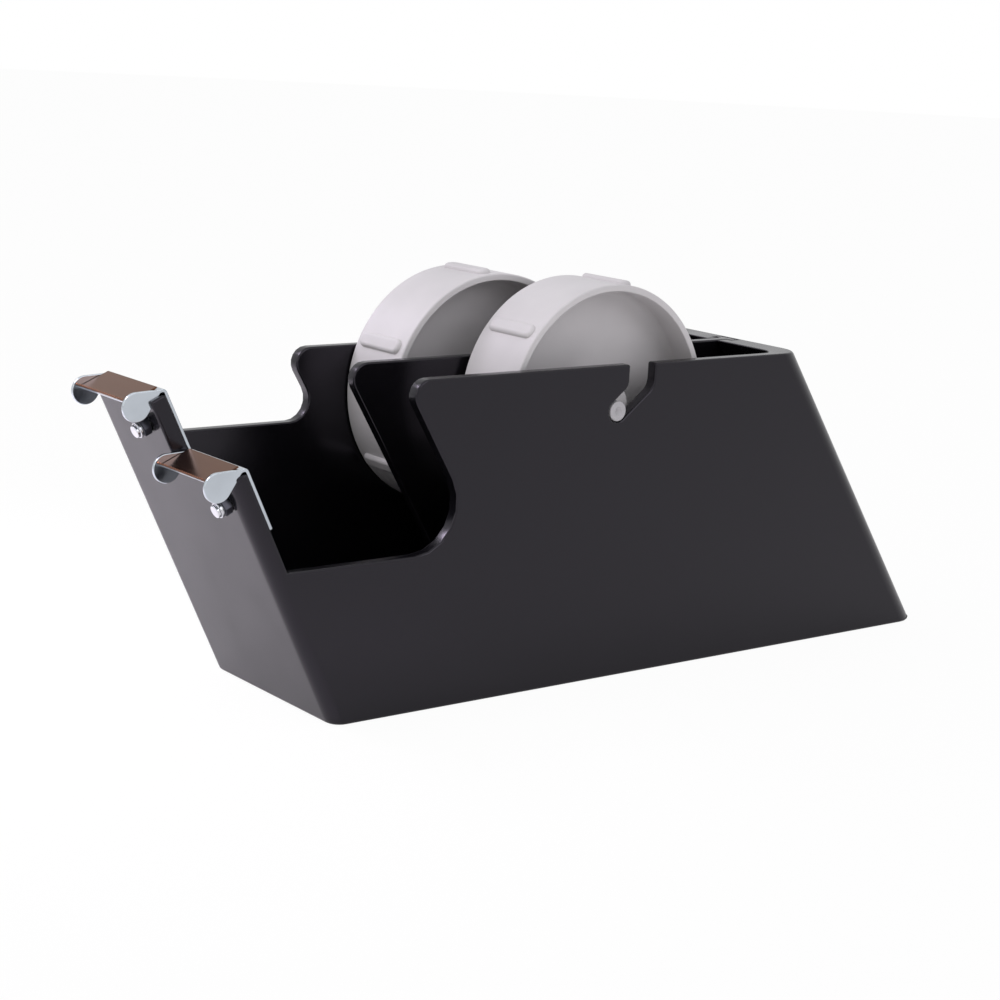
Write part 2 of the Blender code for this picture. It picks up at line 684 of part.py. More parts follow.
def build_blade(name, lane, half, top, surface):
    """A thin strip in the bracket's trough, with a toothed lip at its front."""
    lift = SHEET / 2 + FIT + BLADE_SHEET / 2
    start = Vector((-BLADE_REAR, top + PLATE_RISE / 2 + lift))
    trough = Vector((PLATE_REACH + GAP, top + PLATE_RISE + lift))
    lip = trough + Vector((LIP_REACH, LIP_RISE))
    path = rounded([(*start, 0), (*trough, LIP_RADIUS), (*lip, 0)], closed=False)
    blade = strip(f"{name}_blade", path, BLADE_SHEET, lane - half, lane + half, surface)
    shape = bmesh.new()
    count = int(half * 2 / TOOTH_PITCH)
    wide = TOOTH_PITCH / 2 - FIT / 2
    run = (lip - trough).normalized()
    side = Vector((-run.y, run.x)) * BLADE_SHEET
    for index in range(count):
        middle = lane + (index - (count - 1) / 2) * TOOTH_PITCH
        loops = []
        for face in (-1, 1):
            low = lip - run * TOOTH_DEPTH + side * face
            high = lip + run * TOOTH_DEPTH + side * face
            low_x, low_z = wall_point(*low)
            high_x, high_z = wall_point(*high)
            loops.append(ring(shape, [
                (low_x, middle, low_z),
                (high_x, middle + wide, high_z),
                (high_x, middle - wide, high_z),
            ]))
        shape.faces.new(loops[0])
        shape.faces.new(loops[1])
        for step, here in enumerate(loops[0]):
            after = (step + 1) % len(loops[0])
            shape.faces.new((here, loops[0][after], loops[1][after], loops[1][step]))
    combine(blade, finish(f"cut_{name}_teeth", shape, None), "DIFFERENCE")
    return blade


def main():
    """Model every sub-part of the dispenser."""
    clear_scene()
    black = material("black_plastic", (0.018, 0.018, 0.021), 0.32, 0)
    build_housing(black)
    build_divider(material("divider_plastic", (0.018, 0.018, 0.021), 0.34, 0))
    build_base(
        material("weight_steel", (0.3, 0.3, 0.31), 0.6, 0.9),
        material("cover_plastic", (0.02, 0.02, 0.022), 0.5, 0),
        material("pad_rubber", (0.03, 0.03, 0.03), 0.9, 0),
        material("screw_steel", (0.55, 0.55, 0.57), 0.35, 1),
    )
    grey = material("drum_plastic", (0.72, 0.71, 0.72), 0.45, 0)
    pin = material("axle_plastic", (0.6, 0.6, 0.6), 0.45, 0)
    half = DIVIDER_THICKNESS / 2
    build_drum("near_drum", NEAR_AXLE_X, -LANE_OFFSET, NEAR_RIB_ANGLE, grey)
    build_axle("near_axle", NEAR_AXLE_X, -HALF_WIDTH, half, pin)
    build_drum("far_drum", FAR_AXLE_X, LANE_OFFSET, FAR_RIB_ANGLE, grey)
    build_axle("far_axle", FAR_AXLE_X, -half, HALF_WIDTH, pin)
    chrome = material("bracket_chrome", (0.8, 0.82, 0.85), 0.12, 1)
    brown = material("blade_steel", (0.4, 0.24, 0.15), 0.3, 1)
    zinc = material("bolt_zinc", (0.8, 0.8, 0.82), 0.25, 1)
    dark = material("nut_dark", (0.08, 0.08, 0.09), 0.4, 0.9)
    bright = material("lock_ring_zinc", (0.7, 0.7, 0.72), 0.25, 1)
    for name, lane, width, tab in cutter_lanes():
        build_cutter(name, lane, width, tab, (chrome, brown, zinc, dark, bright))


main()
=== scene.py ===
"""Looks of a table dispenser for two narrow rolls of tape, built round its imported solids.

Metres, +Z up. The origin is in the middle of the base, -X is the front with the cutters.
"""
import json
import math

import bmesh
import bpy
from bpy.props import FloatProperty, FloatVectorProperty, IntProperty, PointerProperty
from mathutils import Matrix, Vector

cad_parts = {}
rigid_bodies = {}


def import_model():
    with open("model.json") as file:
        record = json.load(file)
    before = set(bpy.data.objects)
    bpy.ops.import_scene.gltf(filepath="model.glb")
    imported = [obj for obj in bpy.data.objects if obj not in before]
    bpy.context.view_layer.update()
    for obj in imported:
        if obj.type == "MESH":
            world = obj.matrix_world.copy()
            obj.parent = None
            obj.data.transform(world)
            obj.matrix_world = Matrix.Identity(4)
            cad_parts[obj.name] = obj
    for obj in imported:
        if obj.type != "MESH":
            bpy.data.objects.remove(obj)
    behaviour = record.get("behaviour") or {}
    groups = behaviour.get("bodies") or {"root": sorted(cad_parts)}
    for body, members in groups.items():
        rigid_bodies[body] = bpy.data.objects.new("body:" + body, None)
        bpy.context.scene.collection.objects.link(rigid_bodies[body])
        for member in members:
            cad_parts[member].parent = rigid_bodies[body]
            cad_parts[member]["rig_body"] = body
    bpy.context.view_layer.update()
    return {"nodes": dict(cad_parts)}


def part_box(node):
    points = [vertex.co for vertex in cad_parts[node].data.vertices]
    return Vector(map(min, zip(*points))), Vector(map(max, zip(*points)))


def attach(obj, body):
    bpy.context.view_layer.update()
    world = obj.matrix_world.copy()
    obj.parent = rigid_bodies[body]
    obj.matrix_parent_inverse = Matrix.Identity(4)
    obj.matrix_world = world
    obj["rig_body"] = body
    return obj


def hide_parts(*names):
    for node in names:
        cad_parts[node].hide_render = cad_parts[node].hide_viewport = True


bl_info = {
    "name": "Two-roll tape dispenser",
    "version": (1, 0, 0),
    "blender": (4, 5, 0),
    "location": "View3D > Sidebar > Dispenser",
    "description": "Builds the visible pieces of a two-roll tape dispenser round its solids",
    "category": "Object",
}

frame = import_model()
FRONT_LEAN = math.radians(25.4)
WALL_OUT = Vector((-math.cos(FRONT_LEAN), 0, -math.sin(FRONT_LEAN)))
WALL_TURN = Matrix.Rotation(-math.pi / 2 - FRONT_LEAN, 4, "Y")
WALL_AXES = Matrix.Rotation(-FRONT_LEAN, 4, "Y") @ Matrix.Rotation(math.pi, 4, "Z")
FRONT_X = -0.123
ACROSS = Matrix.Rotation(math.pi / 2, 4, "X")
LANES = ("near", "far")

SAME_PLACE = 0.00005
MERGE_DISTANCE = 0.00001
FLAT_ANGLE = math.radians(0.6)
CREASE_ANGLE = math.radians(28)
SHEET_CREASE = math.radians(50)
ROUND_SHADING = 35
FOOT_SIDE_BAND = 0.002
FOOT_FRONT_BAND = 0.008
FOOT_REAR_BAND = 0.004
BASE_EASE = 0.0003

AXLE_GREY = (0.5, 0.49, 0.5)
BOLT_ZINC = (0.66, 0.67, 0.7)
NUT_STEEL = (0.07, 0.07, 0.085)
RING_ZINC = (0.62, 0.63, 0.66)
RUBBER_BLACK = (0.03, 0.03, 0.032)
COVER_BLACK = (0.012, 0.012, 0.013)
WEIGHT_STEEL = (0.3, 0.3, 0.31)
SCREW_STEEL = (0.5, 0.5, 0.52)
GLOSS_TINT = (0.92, 0.87, 1, 1)
EVEN = (1, 1, 1)

BODY_POINT = (-0.03, 0, 0.06)
FLOOR_POINT = (-0.22, 0.14, 0)
FULL_SPREAD = math.pi
NARROW_SPREAD = math.radians(34)
# Name, place, point aimed at, size, setting with the power, colour, spread.
LAMPS = (
    ("key_lamp", (-0.75, 0.25, 0.95), BODY_POINT, 0.55, "key", (0.95, 0.9, 1), FULL_SPREAD),
    ("fill_lamp", (-1, -0.15, 0.4), BODY_POINT, 0.5, "fill", (1, 0.96, 0.9), FULL_SPREAD),
    ("side_lamp", (0.1, -1.1, 0.8), BODY_POINT, 0.8, "side", (0.96, 0.94, 1), FULL_SPREAD),
    ("floor_lamp", (-0.42, 0.45, 0.4), FLOOR_POINT, 0.25, "pool", (0.92, 0.84, 1), NARROW_SPREAD),
)
CAMERA_PLACE = (-0.45008, -0.52171, 0.19719)
CAMERA_RIGHT = (0.792707, -0.607620, 0.049132)
CAMERA_UP = (0.092328, 0.199336, 0.975572)
CAMERA_AHEAD = (0.602570, 0.768807, -0.214115)
FLOOR_SEEN = 0.96
FLOOR_MIRRORED = 0.3


class HousingSettings(bpy.types.PropertyGroup):
    """Moulded shell and the divider between its lanes."""

    edge_radius: FloatProperty(
        name="Edge radius", description="Rounding of the shell's moulded edges",
        default=0.0007, unit="LENGTH",
    )
    foot_radius: FloatProperty(
        name="Foot radius", description="Rounding round the foot of the shell",
        default=0.001, unit="LENGTH",
    )
    divider_edge: FloatProperty(
        name="Divider edge", description="Rounding of the divider's edges",
        default=0.0006, unit="LENGTH",
    )
    colour: FloatVectorProperty(
        name="Colour", description="Black of the moulded shell",
        default=(0.0036, 0.0034, 0.0044), subtype="COLOR",
    )


class DrumSettings(bpy.types.PropertyGroup):
    """Core drums that carry the rolls, and their axles."""

    radius: FloatProperty(
        name="Radius", description="Outside of the ring that carries the roll's core",
        default=0.038, unit="LENGTH",
    )
    ring: FloatProperty(
        name="Ring", description="Thickness of the ring", default=0.0021, unit="LENGTH",
    )
    web: FloatProperty(
        name="Web", description="Thickness of the web", default=0.0026, unit="LENGTH",
    )
    fillet: FloatProperty(
        name="Fillet", description="Fillet between web, ring and hub",
        default=0.0022, unit="LENGTH",
    )
    hub_radius: FloatProperty(
        name="Hub radius", description="Outside of the hub", default=0.0085, unit="LENGTH",
    )
    hub_relief: FloatProperty(
        name="Hub relief", description="How far the hub ends short of the ring's faces",
        default=0.0012, unit="LENGTH",
    )
    bore: FloatProperty(
        name="Bore", description="Radius of the bore for the axle", default=0.0034, unit="LENGTH",
    )
    ribs: IntProperty(name="Ribs", description="Grip ribs round the ring", default=6)
    rib_width: FloatProperty(
        name="Rib width", description="Width of a grip rib", default=0.0048, unit="LENGTH",
    )
    rib_height: FloatProperty(
        name="Rib height", description="Height of a grip rib", default=0.0013, unit="LENGTH",
    )
    rib_setback: FloatProperty(
        name="Rib setback", description="How far a rib ends short of the ring's faces",
        default=0.0024, unit="LENGTH",
    )
    near_rib_angle: FloatProperty(
        name="Near rib angle", description="Turn of the near drum's first rib",
        default=math.radians(80), unit="ROTATION",
    )
    far_rib_angle: FloatProperty(
        name="Far rib angle", description="Turn of the far drum's first rib",
        default=math.radians(94.5), unit="ROTATION",
    )
    dimple: FloatProperty(
        name="Dimple", description="Radius of the turned dimple in an axle's end",
        default=0.0014, unit="LENGTH",
    )
    colour: FloatVectorProperty(
        name="Colour", description="Light grey of the drums",
        default=(0.66, 0.64, 0.64), subtype="COLOR",
    )


class CutterSettings(bpy.types.PropertyGroup):
    """Brackets, blades, bolts, nuts and rings."""

    sheet: FloatProperty(
        name="Sheet", description="Thickness of the bracket's sheet", default=0.001, unit="LENGTH",
    )
    sheet_edge: FloatProperty(
        name="Sheet edge", description="Rounding of the bracket's sheared edges",
        default=0.00022, unit="LENGTH",
    )
    near_tab: FloatProperty(
        name="Near tab", description="Length of the front wall up to the near tab's end",
        default=0.0824, unit="LENGTH",
    )
    far_tab: FloatProperty(
        name="Far tab", description="Length of the front wall up to the far tab's end",
        default=0.1014, unit="LENGTH",
    )
    leg_depth: FloatProperty(
        name="Leg depth", description="How far the leg's middle lies behind the front face",
        default=0.0058, unit="LENGTH",
    )
    leg_length: FloatProperty(
        name="Leg length", description="Length of the leg behind the tab",
        default=0.0195, unit="LENGTH",
    )
    bend_radius: FloatProperty(
        name="Bend radius", description="Bend between leg and plate", default=0.001, unit="LENGTH",
    )
    plate_reach: FloatProperty(
        name="Plate reach", description="How far the plate reaches ahead of the front face",
        default=0.0042, unit="LENGTH",
    )
    plate_rise: FloatProperty(
        name="Plate rise", description="How far the plate rises to its front edge",
        default=0.0005, unit="LENGTH",
    )
    guide_radius: FloatProperty(
        name="Guide radius", description="Round end of a side guide", default=0.0042, unit="LENGTH",
    )
    guide_reach: FloatProperty(
        name="Guide reach", description="How far a guide's round end lies ahead of the front face",
        default=0.0039, unit="LENGTH",
    )
    blade_edge: FloatProperty(
        name="Blade edge", description="Rounding of the blade's edges",
        default=0.00006, unit="LENGTH",
    )
    blade_overlap: FloatProperty(
        name="Blade overlap", description="How much further back the blade reaches than its solid",
        default=0.0013, unit="LENGTH",
    )
    bolt_radius: FloatProperty(
        name="Bolt radius", description="Radius of the bolt", default=0.0019, unit="LENGTH",
    )
    bolt_head_radius: FloatProperty(
        name="Bolt head radius", description="Radius of the bolt's flat head",
        default=0.003, unit="LENGTH",
    )
    bolt_head_height: FloatProperty(
        name="Bolt head height", description="Height of the bolt's head",
        default=0.0009, unit="LENGTH",
    )
    bolt_grip: FloatProperty(
        name="Bolt grip", description="From the front face back to the bolt's head",
        default=0.0066, unit="LENGTH",
    )
    bolt_end: FloatProperty(
        name="Bolt end", description="How far the bolt stands ahead of the front face",
        default=0.0048, unit="LENGTH",
    )
    nut_radius: FloatProperty(
        name="Nut radius", description="Nut over its corners", default=0.00275, unit="LENGTH",
    )
    nut_height: FloatProperty(
        name="Nut height", description="Height of the nut", default=0.0024, unit="LENGTH",
    )
    ring_radius: FloatProperty(
        name="Ring radius", description="Outside of the ring", default=0.0024, unit="LENGTH",
    )
    ring_height: FloatProperty(
        name="Ring height", description="Height of the ring", default=0.0009, unit="LENGTH",
    )
    ring_ahead: FloatProperty(
        name="Ring ahead", description="How far the ring's middle lies ahead of the front face",
        default=0.00345, unit="LENGTH",
    )
    chrome: FloatVectorProperty(
        name="Bright metal", description="Bright plating of the brackets",
        default=(0.58, 0.63, 0.68), subtype="COLOR",
    )
    brown: FloatVectorProperty(
        name="Blade metal", description="Brown finish of the blades",
        default=(0.15, 0.066, 0.036), subtype="COLOR",
    )


class StageSettings(bpy.types.PropertyGroup):
    """Floor, light and camera."""

    floor_colour: FloatVectorProperty(
        name="Floor", description="Colour of the plain floor",
        default=(0.88, 0.865, 0.85), subtype="COLOR",
    )
    sky: FloatProperty(
        name="Sky", description="Strength of the even light all round", default=0.57,
    )
    key: FloatProperty(
        name="Key lamp", description="Power of the soft lamp above on the left",
        default=3.9, unit="POWER",
    )
    fill: FloatProperty(
        name="Fill lamp", description="Power of the soft lamp in front", default=0.8, unit="POWER",
    )
    side: FloatProperty(
        name="Side lamp", description="Power of the soft lamp on the near side",
        default=2.7, unit="POWER",
    )
    pool: FloatProperty(
        name="Floor lamp", description="Power of the narrow lamp over the floor beside the front wall",
        default=0.35, unit="POWER",
    )
    backdrop: FloatProperty(
        name="Mirrored backdrop", description="Share of the white backdrop seen in gloss", default=0.55,
    )
    lens: FloatProperty(
        name="Lens", description="Focal length in millimetres", default=77.9,
    )


def enter(piece):
    """Open one piece in edit mode with nothing selected."""
    bpy.ops.object.select_all(action="DESELECT")
    piece.select_set(True)
    bpy.context.view_layer.objects.active = piece
    bpy.ops.object.mode_set(mode="EDIT")
    bpy.ops.mesh.select_all(action="DESELECT")


def leave():
    """Back to object mode."""
    bpy.ops.object.mode_set(mode="OBJECT")


def pick(piece, kind, test):
    """Select the faces or edges of the open piece that pass a test."""
    bpy.ops.mesh.select_mode(type=kind)
    bpy.ops.mesh.select_all(action="DESELECT")
    shape = bmesh.from_edit_mesh(piece.data)
    shape.normal_update()
    members = shape.faces if kind == "FACE" else shape.edges
    found = [member for member in members if test(member)]
    if not found:
        raise RuntimeError(f"nothing to select on {piece.name}")
    for member in found:
        member.select_set(True)
    bmesh.update_edit_mesh(piece.data)


def near_value(value, wanted):
    """True where a coordinate is at its wanted place."""
    return abs(value - wanted) < SAME_PLACE


def cap(side):
    """Test for the flat end face on one side of a part turned round Z."""
    return lambda face: face.normal.z * side > 0.99 and near_value(face.calc_center_median().xy.length, 0)


def circle(radius, height):
    """Test for the edges of a circle round Z."""
    def on_circle(edge):
        return all(
            near_value(vert.co.xy.length, radius) and near_value(vert.co.z, height)
            for vert in edge.verts
        )
    return on_circle


def sharp_edge(angle):
    """Test for an edge whose faces meet at more than an angle."""
    return lambda edge: len(edge.link_faces) == 2 and edge.calc_face_angle(0) > angle


def bar(name, radius, length, sides):
    """A round bar round Z with its middle at the origin."""
    bpy.ops.object.select_all(action="DESELECT")
    bpy.ops.mesh.primitive_cylinder_add(vertices=sides, radius=radius, depth=length)
    piece = bpy.context.active_object
    piece.name = name
    piece.data.name = name
    return piece


def bevel(piece, test, width, segments):
    """Round the edges that pass a test."""
    pick(piece, "EDGE", test)
    bpy.ops.mesh.bevel(offset=width, segments=segments, affect="EDGES", clamp_overlap=False)


def move_inward(depth):
    """Move what is selected along Z."""
    bpy.ops.transform.translate(value=(0, 0, depth))


def pull(depth):
    """Extrude what is selected along Z."""
    bpy.ops.mesh.extrude_region_move(TRANSFORM_OT_translate={"value": (0, 0, depth)})


def join_bore(piece, radius, heights):
    """Open the two end faces inside a bore and join their rims."""
    pick(piece, "FACE", lambda face: abs(face.normal.z) > 0.99 and all(
        near_value(vert.co.xy.length, radius) for vert in face.verts
    ))
    bpy.ops.mesh.delete(type="FACE")
    pick(piece, "EDGE", lambda edge: any(circle(radius, height)(edge) for height in heights))
    bpy.ops.mesh.bridge_edge_loops()


def settle(piece, place):
    """Put a piece where it belongs, with its place in its mesh."""
    piece.matrix_world = place
    bpy.ops.object.select_all(action="DESELECT")
    piece.select_set(True)
    bpy.context.view_layer.objects.active = piece
    bpy.ops.object.transform_apply(location=True, rotation=True, scale=True)


def smooth(piece, angle=40):
    """Smooth shading that keeps flat faces flat and creases sharp."""
    bpy.ops.object.select_all(action="DESELECT")
    piece.select_set(True)
    bpy.context.view_layer.objects.active = piece
    bpy.ops.object.shade_smooth_by_angle(angle=math.radians(angle))
    step = piece.modifiers.new("even_shading", "WEIGHTED_NORMAL")
    step.keep_sharp = True
    bpy.ops.object.modifier_apply(modifier=step.name)


def dress(piece, surface, node):
    """Finish a piece: its material, the body it rides on and the solid it stands for."""
    piece.data.materials.clear()
    piece.data.materials.append(surface)
    source = frame["nodes"][node]
    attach(piece, source["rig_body"])
    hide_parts(node)


def merged_copy(name, node):
    """One of the frame's solids as a closed mesh of flat faces, ready to be worked on."""
    mesh = frame["nodes"][node].data.copy()
    mesh.name = name
    mesh.materials.clear()
    piece = bpy.data.objects.new(name, mesh)
    bpy.context.scene.collection.objects.link(piece)
    enter(piece)
    bpy.ops.mesh.select_all(action="SELECT")
    bpy.ops.mesh.customdata_custom_splitnormals_clear()
    bpy.ops.mesh.remove_doubles(threshold=MERGE_DISTANCE)
    bpy.ops.mesh.dissolve_limited(angle_limit=FLAT_ANGLE)
    return piece


def centre(node):
    """Middle of a solid's box."""
    low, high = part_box(node)
    return (low + high) / 2


def unite(piece, other):
    """Merge another piece into this one."""
    step = piece.modifiers.new("unite", "BOOLEAN")
    step.operation = "UNION"
    step.solver = "EXACT"
    step.object = other
    bpy.ops.object.select_all(action="DESELECT")
    bpy.context.view_layer.objects.active = piece
    bpy.ops.object.modifier_apply(modifier=step.name)
    bpy.data.objects.remove(other, do_unlink=True)


def new_surface(name, colour, metallic, specular=0.5):
    """A material with its even values set on the shader."""
    made = bpy.data.materials.new(name)
    made.use_nodes = True
    shader = made.node_tree.nodes["Principled BSDF"]
    shader.inputs["Base Color"].default_value = (*colour, 1)
    shader.inputs["Metallic"].default_value = metallic
    shader.inputs["Specular IOR Level"].default_value = specular
    return made


def pattern(made, scale, detail, stretch=(1, 1, 1)):
    """Noise through the piece, in its own coordinates, stretched along its axes."""
    nodes = made.node_tree.nodes
    links = made.node_tree.links
    place = nodes.new("ShaderNodeTexCoord")
    turn = nodes.new("ShaderNodeMapping")
    turn.inputs["Scale"].default_value = stretch
    noise = nodes.new("ShaderNodeTexNoise")
    noise.inputs["Scale"].default_value = scale
    noise.inputs["Detail"].default_value = detail
    links.new(place.outputs["Object"], turn.inputs["Vector"])
    links.new(turn.outputs["Vector"], noise.inputs["Vector"])
    return noise.outputs["Fac"]


def vary_colour(made, factor, low, high):
    """Base colour between two shades."""
    mix = made.node_tree.nodes.new("ShaderNodeMix")
    mix.data_type = "RGBA"
    shades = [socket for socket in mix.inputs if socket.type == "RGBA"]
    shades[0].default_value = (*low, 1)
    shades[1].default_value = (*high, 1)
    shader = made.node_tree.nodes["Principled BSDF"]
    made.node_tree.links.new(factor, mix.inputs[0])
    result = [socket for socket in mix.outputs if socket.type == "RGBA"][0]
    made.node_tree.links.new(result, shader.inputs["Base Color"])


def vary_roughness(made, factor, low, high):
    """Roughness between two values."""
    span = made.node_tree.nodes.new("ShaderNodeMapRange")
    span.inputs["From Min"].default_value = 0.3
    span.inputs["From Max"].default_value = 0.7
    span.inputs["To Min"].default_value = low
    span.inputs["To Max"].default_value = high
    shader = made.node_tree.nodes["Principled BSDF"]
    made.node_tree.links.new(factor, span.inputs["Value"])
    made.node_tree.links.new(span.outputs["Result"], shader.inputs["Roughness"])


def vary_height(made, factor, depth, strength):
    """Relief of a depth in metres."""
    relief = made.node_tree.nodes.new("ShaderNodeBump")
    relief.inputs["Distance"].default_value = depth
    relief.inputs["Strength"].default_value = strength
    shader = made.node_tree.nodes["Principled BSDF"]
    made.node_tree.links.new(factor, relief.inputs["Height"])
    made.node_tree.links.new(relief.outputs["Normal"], shader.inputs["Normal"])


def shade(colour, amount):
    """A colour made lighter or darker."""
    return tuple(min(part * amount, 1) for part in colour)


def moulded(name, colour, roughness, specular, grain=0.00003):
    """Moulded plastic: slight clouding, uneven gloss and a very fine grain."""
    made = new_surface(name, colour, 0, specular)
    made.node_tree.nodes["Principled BSDF"].inputs["Specular Tint"].default_value = GLOSS_TINT
    vary_colour(made, pattern(made, 34, 3), shade(colour, 0.86), shade(colour, 1.16))
    vary_roughness(made, pattern(made, 60, 4), roughness - 0.04, roughness + 0.05)
    vary_height(made, pattern(made, 1500, 2), grain, 0.35)
    return made


def rolled(name, colour, roughness, stretch, depth=0.00002):
    """Metal sheet or bar with fine lines along its rolling direction."""
    made = new_surface(name, colour, 1)
    vary_colour(made, pattern(made, 90, 4, stretch), shade(colour, 0.82), shade(colour, 1.15))
    vary_roughness(made, pattern(made, 220, 3, stretch), roughness - 0.05, roughness + 0.08)
    vary_height(made, pattern(made, 900, 2, stretch), depth, 0.3)
    return made


def cast(name, colour, roughness):
    """Rough cast metal."""
    made = new_surface(name, colour, 1)
    vary_colour(made, pattern(made, 70, 5), shade(colour, 0.7), shade(colour, 1.2))
    vary_roughness(made, pattern(made, 120, 3), roughness - 0.1, roughness + 0.1)
    vary_height(made, pattern(made, 500, 4), 0.0002, 0.6)
    return made


def rubber(name, colour):
    """Foamed rubber with open cells."""
    made = new_surface(name, colour, 0, 0.3)
    vary_colour(made, pattern(made, 400, 3), shade(colour, 0.6), shade(colour, 1.4))
    vary_roughness(made, pattern(made, 200, 2), 0.82, 0.95)
    vary_height(made, pattern(made, 1100, 3), 0.0002, 0.8)
    return made


class DISPENSER_OT_housing(bpy.types.Operator):
    """Shell and divider with rounded edges"""

    bl_idname = "dispenser.housing"
    bl_label = "Housing"

    def execute(self, context):
        sizes = context.scene.dispenser_housing
        black = moulded("satin_black_plastic", sizes.colour, 0.22, 0.42)
        shell = merged_copy("shell", "housing")
        low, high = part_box("housing")
        bevel(shell, lambda edge: self.is_foot(edge, low, high), sizes.foot_radius, 4)
        bevel(shell, sharp_edge(CREASE_ANGLE), sizes.edge_radius, 3)
        leave()
        smooth(shell)
        dress(shell, black, "housing")
        divider_black = moulded("divider_black_plastic", shade(sizes.colour, 0.9), 0.2, 0.42)
        plate = merged_copy("divider_plate", "divider")
        bevel(plate, sharp_edge(CREASE_ANGLE), sizes.divider_edge, 3)
        leave()
        smooth(plate)
        dress(plate, divider_black, "divider")
        return {"FINISHED"}

    def is_foot(self, edge, low, high):
        """True for an edge round the outside of the shell's foot."""
        if not all(near_value(vert.co.z, low.z) for vert in edge.verts):
            return False
        near_outside = any(
            abs(vert.co.y) > high.y - FOOT_SIDE_BAND
            or vert.co.x < FRONT_X + FOOT_FRONT_BAND
            or vert.co.x > high.x - FOOT_REAR_BAND
            for vert in edge.verts
        )
        return near_outside and self.is_outer(edge)

    @staticmethod
    def is_outer(edge):
        """True for an edge of the outer outline, whose side face looks outwards."""
        for face in edge.link_faces:
            if abs(face.normal.z) < 0.9:
                middle = (edge.verts[0].co + edge.verts[1].co) / 2
                away = Vector((middle.x, middle.y * 2, 0))
                return face.normal.dot(away) > 0
        return False


class DISPENSER_OT_drums(bpy.types.Operator):
    """Core drums with their grip ribs"""

    bl_idname = "dispenser.drums"
    bl_label = "Drums"

    def execute(self, context):
        sizes = context.scene.dispenser_drums
        grey = moulded("light_grey_plastic", sizes.colour, 0.42, 0.4)
        for lane, angle in zip(LANES, (sizes.near_rib_angle, sizes.far_rib_angle)):
            node = f"{lane}_drum"
            low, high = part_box(node)
            half = (high.y - low.y) / 2
            drum = self.turned_drum(f"{lane}_core_drum", sizes, half)
            ribs = self.ribs(f"{lane}_ribs", sizes, half, angle)
            unite(drum, ribs)
            middle = self.axis_point(lane, (low.y + high.y) / 2)
            settle(drum, Matrix.Translation(middle) @ ACROSS)
            smooth(drum, ROUND_SHADING)
            dress(drum, grey, node)
        return {"FINISHED"}

    @staticmethod
    def axis_point(lane, y):
        """Point of a lane's axle line."""
        middle = centre(f"{lane}_axle")
        return Vector((middle.x, y, middle.z))

    @staticmethod
    def turned_drum(name, sizes, half):
        """Ring, web and hub, worked out of a round bar from both ends."""
        drum = bar(name, sizes.radius, half * 2, 144)
        inner = sizes.radius - sizes.ring
        web = sizes.web / 2
        hub = half - sizes.hub_relief
        enter(drum)
        for side in (-1, 1):
            pick(drum, "FACE", cap(side))
            bpy.ops.mesh.inset(thickness=sizes.ring)
            pull(-side * (half - web))
            bpy.ops.mesh.inset(thickness=inner - sizes.hub_radius)
            pull(side * (hub - web))
            bpy.ops.mesh.inset(thickness=sizes.hub_radius - sizes.bore)
        join_bore(drum, sizes.bore, (-hub, hub))
        for side in (-1, 1):
            bevel(drum, circle(inner, side * web), sizes.fillet, 6)
            bevel(drum, circle(sizes.hub_radius, side * web), sizes.fillet, 6)
            bevel(drum, circle(sizes.hub_radius, side * hub), sizes.web / 8, 3)
            bevel(drum, circle(sizes.bore, side * hub), sizes.web / 8, 3)
            bevel(drum, circle(inner, side * half), sizes.ring / 6, 3)
            bevel(drum, circle(sizes.radius, side * half), sizes.ring / 4, 3)
        bpy.ops.mesh.select_all(action="SELECT")
        bpy.ops.mesh.normals_make_consistent(inside=False)
        leave()
        return drum

    @staticmethod
    def ribs(name, sizes, half, first):
        """One rounded rib, copied round the ring."""
        root = sizes.rib_height
        bpy.ops.object.select_all(action="DESELECT")
        bpy.ops.mesh.primitive_cube_add(size=1)
        rib = bpy.context.active_object
        rib.name = name
        thick = sizes.rib_height + root
        length = (half - sizes.rib_setback) * 2
        place = Matrix.Translation((sizes.radius - root + thick / 2, 0, 0))
        settle(rib, place @ Matrix.Diagonal((thick, sizes.rib_width, length, 1)))
        enter(rib)
        crown = sizes.radius + sizes.rib_height
        plan = sizes.rib_width * 0.42
        bevel(rib, lambda edge: near_value(edge.verts[0].co.y, edge.verts[1].co.y) and near_value(
            edge.verts[0].co.z, edge.verts[1].co.z
        ), plan, 6)
        bevel(
            rib, lambda edge: all(near_value(v.co.x, crown) for v in edge.verts),
            sizes.rib_height * 0.95, 5,
        )
        leave()
        parts = []
        for index in range(sizes.ribs):
            part = rib.copy()
            part.data = rib.data.copy()
            bpy.context.scene.collection.objects.link(part)
            settle(part, Matrix.Rotation(first + math.tau * index / sizes.ribs, 4, "Z"))
            parts.append(part)
        bpy.ops.object.select_all(action="DESELECT")
        for part in parts:
            part.select_set(True)
        bpy.context.view_layer.objects.active = parts[0]
        bpy.ops.object.join()
        bpy.data.objects.remove(rib, do_unlink=True)
        return parts[0]


